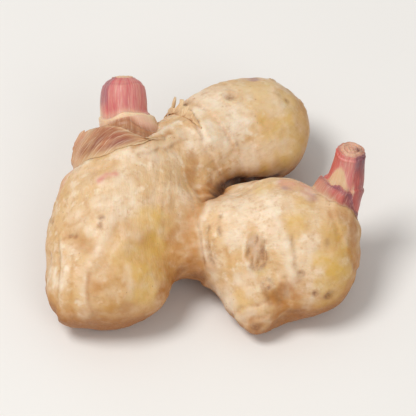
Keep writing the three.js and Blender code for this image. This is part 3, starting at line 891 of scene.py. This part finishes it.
def foot_line(stalk, angle, lift, low, high):
    """Where along a stalk its side, lift millimetres out, leaves the rhizome's skin at each angle."""
    steps = np.linspace(low, high, 60)
    leaves = np.full(len(angle), low)
    for i, a in enumerate(angle):
        side = stalk.at(steps, np.full(len(steps), a), lift)
        for t, point in zip(steps, side):
            near, normal, _, _ = skin_tree.find_nearest(Vector(point))
            if (Vector(point) - near).dot(normal) < 0.02:
                leaves[i] = t
    for _ in range(12):
        leaves = (np.roll(leaves, 1) + leaves + np.roll(leaves, -1)) / 3
    return leaves


def cuff_mesh(name, stalk, margin, lift_of, masks, span, foot, thickness, across, up, slant=0.0):
    """A thin sheath round a stalk between two angles, from its skin to a ragged margin(angle).

    foot gives the lift and the range in which its foot line is sought; slant tilts its fibres.
    """
    circle = np.linspace(0, 2 * np.pi, 181)[:-1]
    leaves = foot_line(stalk, circle, *foot)
    degrees = np.linspace(*span, across)
    angle = np.radians(degrees)
    taper = 22
    ends = plateau(degrees, span[0], span[0] + taper, span[1] - taper, span[1])
    low = np.interp(angle % (2 * np.pi), circle, leaves, period=2 * np.pi) - 0.15
    high = np.maximum(low + (margin(angle) - low) * ends, low + 0.25 + 0.3 * ends)
    share, turned = np.meshgrid(np.linspace(0, 1, up), angle, indexing="ij")
    along = low + (high - low) * share
    lift = lift_of(along, turned, share)
    thick = thickness * np.minimum(1, 4 * ends) * (0.25 + 0.75 * bump(share - 0.4, 0.45))
    gap = 0.05
    outer = clear_of_skin(stalk.at(along, turned, lift), gap + thick)
    inner = clear_of_skin(stalk.at(along, turned, lift - thick), gap)
    drawn = masks(share, along, turned)
    drawn["grain"] = drum(10, turned - slant * share, 0.2 * along)
    return sheet_mesh(name, outer, inner, drawn)


def ragged(a, seed, size=1.0, depth=0.5):
    """Teeth of a torn edge round a stalk."""
    teeth = np.abs(round_noise(a, 0, 0.8 * size, seed + 1))
    return depth * (round_noise(a, 0, 2.6 * size, seed) + 0.6 * teeth)


COLLAR_SLANT = 0.9


def collar_folds(share, a):
    """Slanting folds across the collar, and the recess between its lip and the skin."""
    turned = np.degrees(a) % 360
    slant = np.cos(2 * math.pi * (2.1 * share - (turned - 180) / 62 + 0.25 * round_noise(a, share, 1.6, 107)))
    recess = bump(share - 0.42, 0.26) * ramp(turned, 196, 222) * (1 - ramp(turned, 318, 345))
    return slant, recess


def collar_masks(share, t, a):
    fibre = 0.5 + 0.5 * round_noise(a - COLLAR_SLANT * share, t * 0.2, 1.1, 103)
    blotch = round_noise(a - share, t * 0.8, 2.6, 105) + 0.5 * round_noise(a - share, t, 0.9, 106)
    blotch = ramp(blotch, -0.5, 0.3)
    # painted shade: the recess under the lip and the fold troughs in it are darkened to brown, red and near
    # black; elsewhere the brown is the old scale's dry colour
    slant, recess = collar_folds(share, a)
    tail = ramp(np.degrees(a) % 360, 262, 298)
    recess = recess * (1 - 0.7 * tail)
    low = 0.45 + 0.3 * ramp(-slant, -0.2, 0.8)
    return {
        "straw": 0.4 + 0.3 * fibre,
        "brown": np.maximum(
            1.2 * recess * low * (0.6 + 0.4 * blotch) + 0.3 * recess,
            (0.55 + 0.45 * blotch) * bump(share - 0.66, 0.4)
            * (0.45 + 0.75 * near_angle(a, 258, 42)) * (1 - 0.7 * tail),
        ),
        "cream": np.maximum(
            0.9 * bump(share - 1, 0.14),
            0.85 * bump(share, 0.2 + 0.14 * near_angle(a, 285, 45)) + 0.35 * tail,
        ),
        "red": 0.22 * near_angle(a, 285, 70) * recess,
        "pink": 0.3 * near_angle(a, 190, 35) * (0.5 + 0.5 * fibre) + 0.12 * bump(share - 0.85, 0.2),
        "dark": 0.6 * recess * (0.5 + 0.5 * near_angle(a, 262, 50)) * fibre * blotch,
    }


def collar_lift(t, a, share):
    crumple = 0.35 * round_noise(a, t * 1.2, 2.2, 102) + 0.16 * round_noise(a, t * 1.5, 0.9, 104)
    slant, recess = collar_folds(share, a)
    lift = rear_relief(t, a) + 0.55 + 0.35 * (1 - ramp(share, 0, 0.3)) + 0.55 * ramp(share, 0.7, 1)
    lift += (crumple + 0.42 * slant) * ramp(share, 0.1, 0.4) - 0.35 * recess
    return np.maximum(lift, rear_relief(t, a) + 0.45)


def collar_margin(a):
    rim = 7.6 + 0.9 * near_angle(a, 225, 60) - 2.2 * near_angle(a, 188, 50) - 1.2 * near_angle(a, 330, 60)
    return rim + ragged(a, 100, 1.2, 1.0)


collar_mesh = cuff_mesh(
    "rear_collar_scale_sheet", rear_stalk, collar_margin, collar_lift, collar_masks,
    span=(95, 324), foot=(0.85, 0.5, 7), thickness=0.3, across=420, up=44, slant=COLLAR_SLANT,
)
scale_look = tissue_material(
    "dry_scale", (222, 180, 134), roughness=0.6, subsurface=0.08, streaky=0.5, depth=0.16
)
add_piece(collar_mesh, "rear_collar_scale", scale_look)


def sheath_masks(share, t, a):
    fibre = 0.5 + 0.5 * round_noise(a, t * 0.15, 1.0, 113)
    blotch = ramp(round_noise(a, t * 0.6, 2.4, 115), -0.3, 0.5)
    edge = bump(share - 1, 0.08)
    return {
        "cream": np.maximum(0.75 * edge, 0.7 * bump(share, 0.25) + 0.4 * (1 - blotch)),
        "pink": 0.6 * ramp(share, 0.12, 0.4) * (0.55 + 0.45 * blotch),
        "red": 0.6 * near_angle(a, 285, 50) * bump(share - 0.4, 0.35) + 0.2 * fibre,
        "purple": 0.9 * bump(share - 0.8, 0.2) * (0.6 + 0.4 * blotch) + 0.2 * near_angle(a, 320, 60),
        "brown": (0.6 + 0.4 * blotch) * bump(share - 0.5, 0.5) * ramp(np.degrees(a) % 360, 195, 235),
        "dark": 0.85 * bump(share - 0.45, 0.5) * near_angle(a, 306, 42),
    }


def sheath_lift(t, a, share):
    return right_relief(t, a) + 0.4 + 0.3 * share**3 + 0.2 * round_noise(a, t * 0.4, 1.4, 112)


def sheath_margin(a):
    rim = 11.6 + 1.5 * near_angle(a, 215, 60) + 1.3 * near_angle(a, 262, 42) - 2.6 * near_angle(a, 325, 36)
    return rim + ragged(a, 110, 1, 0.8)


sheath_mesh = cuff_mesh(
    "right_sheath_sheet", right_stalk, sheath_margin, sheath_lift, sheath_masks,
    span=(128, 338), foot=(0.45, 3, 15), thickness=0.26, across=400, up=40,
)
sheath_look = tissue_material(
    "sheath", (192, 122, 98), roughness=0.5, subsurface=0.15, streaky=0.3, depth=0.14
)
add_piece(sheath_mesh, "right_shoot_sheath", sheath_look)


def neck_scale_mesh():
    """A dry scale on the upper finger's neck that frays along its free edge."""
    along, up = unit([0.75, 0.66, 0]), np.array([0.0, 0, 1])
    out = np.cross(up, along)
    foot = np.array([-0.6, 15.2, 17.3]) + MIDDLE
    columns, rows = 300, 30
    outer, inner = np.zeros((2, rows, columns, 3))
    share = np.linspace(0, 1, rows)
    degrees = np.linspace(-28, 82, columns)
    turn = np.radians(degrees)
    ends = plateau(degrees, -28, -16, 70, 82)
    torn = 0.5 + 0.5 * round_noise(3 * turn, 0, 1.4, 121) + 0.35 * round_noise(3 * turn, 0, 0.5, 122)
    length = 0.3 + (0.9 + 2.4 * torn) * plateau(degrees, -28, -8, 48, 82)
    rise = 0.3 + 1.4 * ends * np.clip(0.5 + round_noise(3 * turn, 0, 2.2, 123), 0, 1.3)
    for degree, width, more in ((24, 2.2, 2.6), (31, 1.6, 1.6), (40, 2.4, 2.2)):
        length += more * bump(degrees - degree, width)
        rise += more * 0.7 * bump(degrees - degree, width)
    for k in range(columns):
        direction = np.cos(turn[k]) * out + np.sin(turn[k]) * up
        for i in range(rows):
            at = foot + along * (share[i] * length[k])
            hit = skin_tree.ray_cast(Vector(at + 40 * direction), Vector(-direction))
            surface = np.array(hit[0]) if hit[0] else at + 13 * direction
            lift = 0.12 + rise[k] * share[i] ** 2 + 0.15 * math.sin(share[i] * 5 + k * 0.05)
            thick = (0.3 - 0.18 * share[i]) * min(1, ends[k] * 3)
            outer[i, k] = surface + direction * (lift + thick)
            inner[i, k] = surface + direction * lift
    grid_share, grid_turn = np.meshgrid(share, 3 * turn, indexing="ij")
    fibre = 0.5 + 0.5 * round_noise(grid_turn, grid_share, 0.7, 124)
    masks = {
        "straw": 0.3 + 0.3 * fibre,
        "cream": 0.6 * (1 - fibre) + 0.6 * grid_share,
        "brown": 0.8 * bump(grid_share, 0.5) * ramp(fibre, 0.4, 0.9),
        "grain": np.stack([20 * grid_turn, 0.3 * grid_share, 0 * grid_share], -1),
    }
    return sheet_mesh("neck_scale_sheet", outer, inner, masks)


add_piece(neck_scale_mesh(), "neck_scale", scale_look)


# ---- floor, light and camera
def add_floor():
    """A pale floor, 6 m square."""
    mesh = bpy.data.meshes.new("floor")
    mesh.from_pydata([(-3, -3, 0), (3, -3, 0), (3, 3, 0), (-3, 3, 0)], [], [(0, 1, 2, 3)])
    s = Shader("floor_surface", roughness=0.8)
    mesh.materials.append(s.finish(s.mix(s.noise(60, 1), (240, 237, 232), (237, 234, 229))))
    floor = placed("floor", mesh)


def add_light(name, place, size, power):
    """A round lamp that faces the root, with its place and size in metres."""
    lamp = bpy.data.lights.new(name, "AREA")
    lamp.shape = "DISK"
    lamp.size = size
    lamp.energy = power
    light = placed(name, lamp)
    light.location = place
    light.rotation_euler = (Vector((0, 0, 0.02)) - light.location).to_track_quat("-Z", "Y").to_euler()


AIM_HEIGHT = 18
CAMERA_DOWN = 50  # degrees
CAMERA_AWAY = 1150
PICTURE_WIDTH = 416 / 3.712  # millimetres across the picture at the root


def add_camera():
    """Looks along +Y and down, as the root was seen."""
    aim = Vector((MIDDLE + (0, 0, AIM_HEIGHT)) * MM)
    down = math.radians(CAMERA_DOWN)
    away = Vector((0, -math.cos(down), math.sin(down)))
    lens = bpy.data.cameras.new("camera")
    lens.sensor_width = 36
    lens.lens = lens.sensor_width * CAMERA_AWAY / PICTURE_WIDTH
    lens.clip_end = 20
    camera = placed("camera", lens)
    camera.location = aim + away * (CAMERA_AWAY * MM)
    camera.rotation_euler = (-away).to_track_quat("-Z", "Y").to_euler()
    bpy.context.scene.camera = camera


def add_world():
    world = bpy.data.worlds.new("world")
    bpy.context.scene.world = world
    world.use_nodes = True
    background = world.node_tree.nodes["Background"].inputs
    background["Color"].default_value = (1, 1, 1, 1)
    background["Strength"].default_value = 0.44


add_floor()
add_world()
add_light("key", (-0.56, -0.18, 1.3), size=0.6, power=11.8)
add_light("fill", (0.6, -1.1, 1.1), size=0.9, power=3.9)
add_camera()
bpy.context.scene.view_settings.view_transform = "Standard"

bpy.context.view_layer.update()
